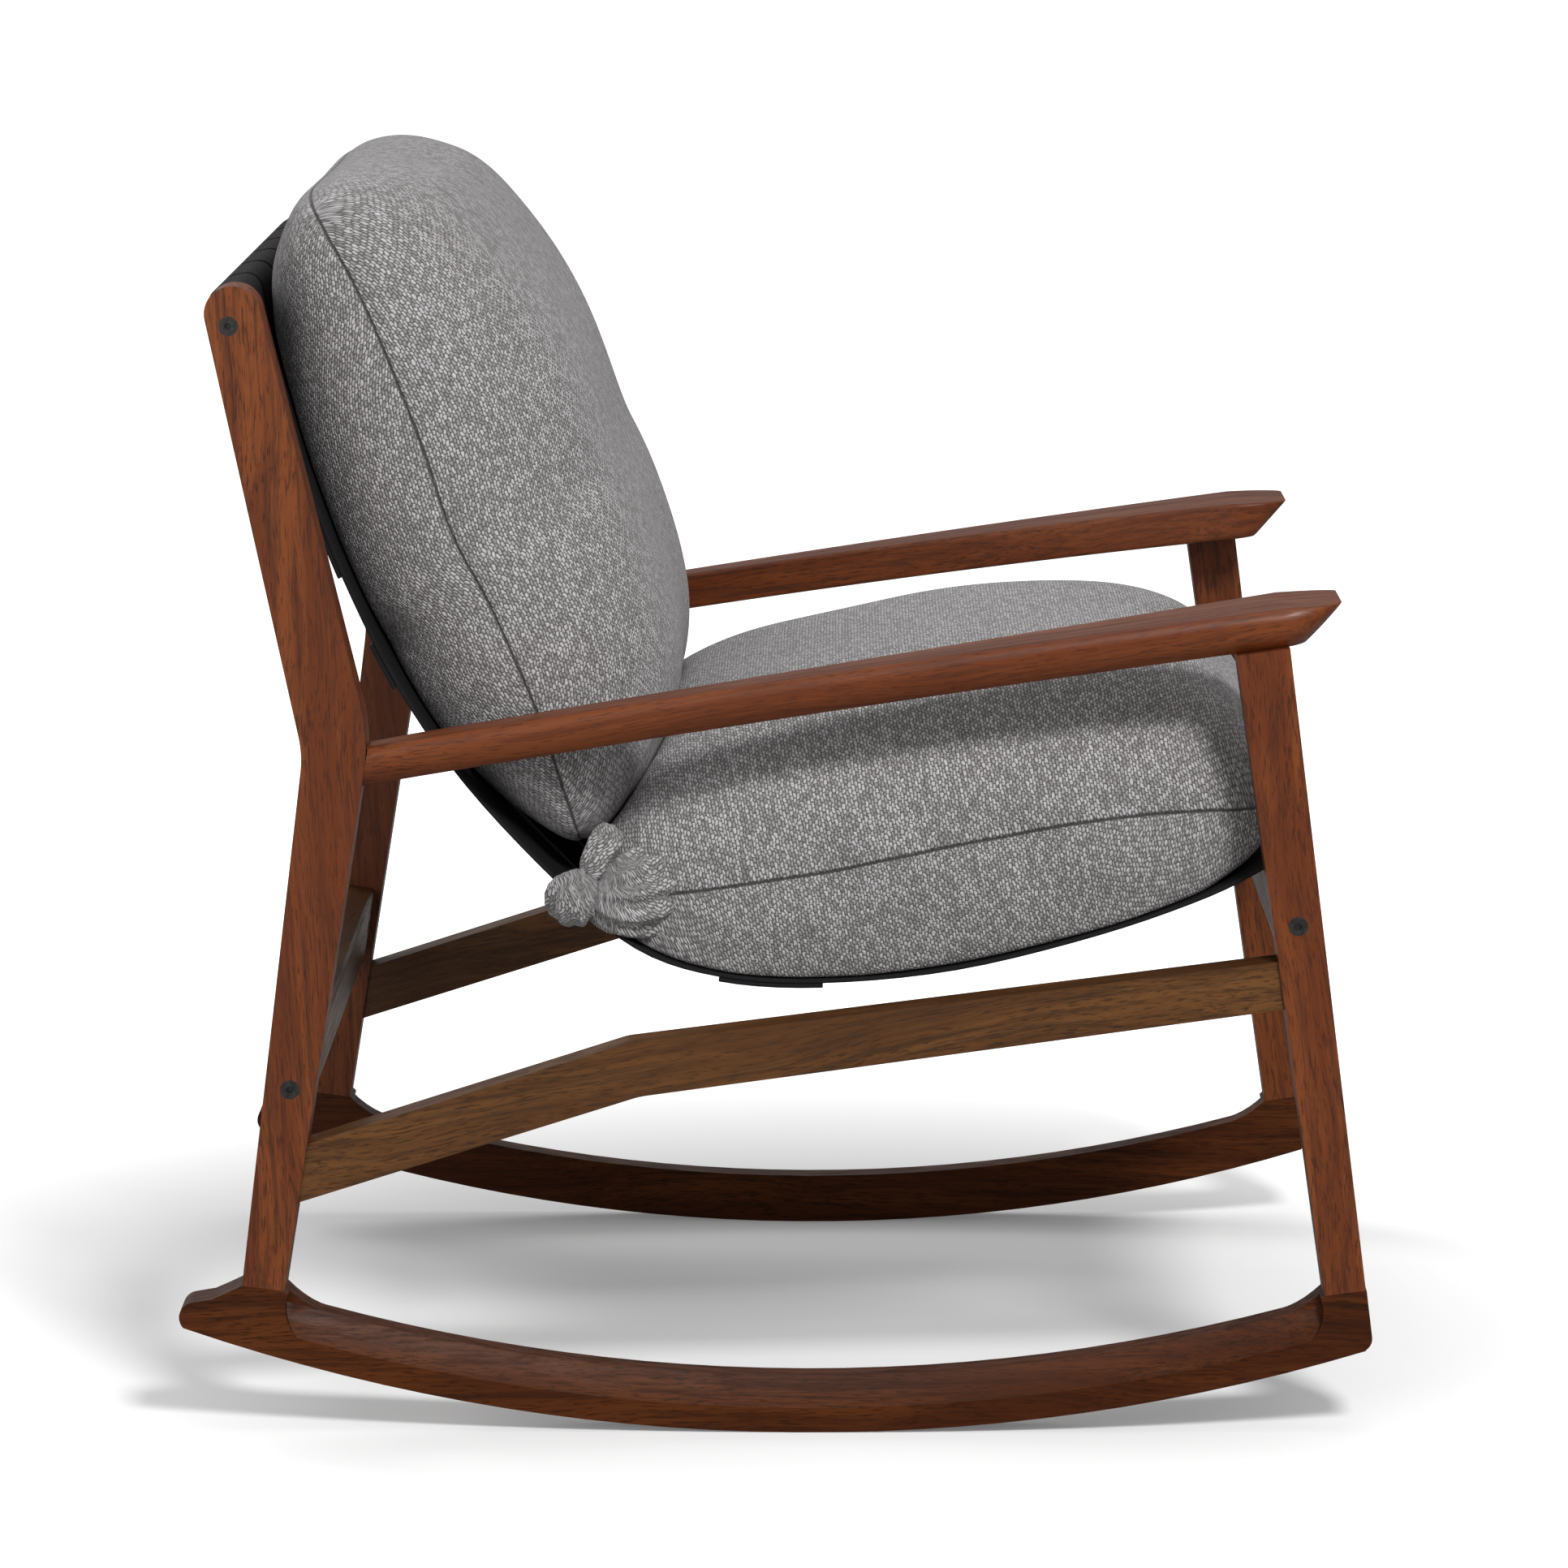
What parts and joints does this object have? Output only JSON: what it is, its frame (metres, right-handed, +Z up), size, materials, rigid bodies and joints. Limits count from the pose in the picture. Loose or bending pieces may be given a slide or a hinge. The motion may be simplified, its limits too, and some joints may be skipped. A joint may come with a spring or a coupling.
{
  "type": "lounge rocking chair",
  "caption": "Lounge rocking chair with a solid wood frame on curved rockers, a sling of webbing straps, and loose tweed seat and back cushions.",
  "frame": {"origin": "on the floor, under the middle of the chair's length and width", "axes": "+X towards the front of the chair, +Y to the sitter's left, +Z up"},
  "size_m": [0.76, 0.62, 0.8051],
  "materials": {
    "red_wood": "reddish-brown stained hardwood, satin lacquer",
    "brown_wood": "brown stained hardwood, satin lacquer",
    "webbing": "black woven elastic webbing",
    "tweed": "chunky light and dark grey tweed weave",
    "wadding": "polyester wadding round a foam core",
    "steel": "dark zinc-plated steel",
    "dowel_wood": "plain beech"
  },
  "bodies": {
    "root": {"right_rocker": "red_wood", "left_rocker": "red_wood", "right_back_post": "red_wood", "left_back_post": "red_wood", "right_front_leg": "red_wood", "left_front_leg": "red_wood", "right_armrest": "red_wood", "left_armrest": "red_wood", "right_side_stretcher": "brown_wood", "left_side_stretcher": "brown_wood", "top_rail": "brown_wood", "front_rail": "brown_wood", "rear_rail": "brown_wood", "strap_1": "webbing", "strap_2": "webbing", "strap_3": "webbing", "strap_4": "webbing", "strap_5": "webbing", "strap_6": "webbing", "upper_back_cross_strap": "webbing", "lower_back_cross_strap": "webbing", "seat_cross_strap": "webbing", "back_cushion_front_panel": "tweed", "back_cushion_rear_panel": "tweed", "back_cushion_core": "wadding", "seat_cushion_top_panel": "tweed", "seat_cushion_bottom_panel": "tweed", "seat_cushion_fill": "wadding", "right_cushion_tie": "tweed", "left_cushion_tie": "tweed", "frame_bolts": "steel", "barrel_nuts": "steel", "rail_dowels": "dowel_wood", "side_frame_dowels": "dowel_wood", "strap_screws": "steel"}
  },
  "joints": []
}
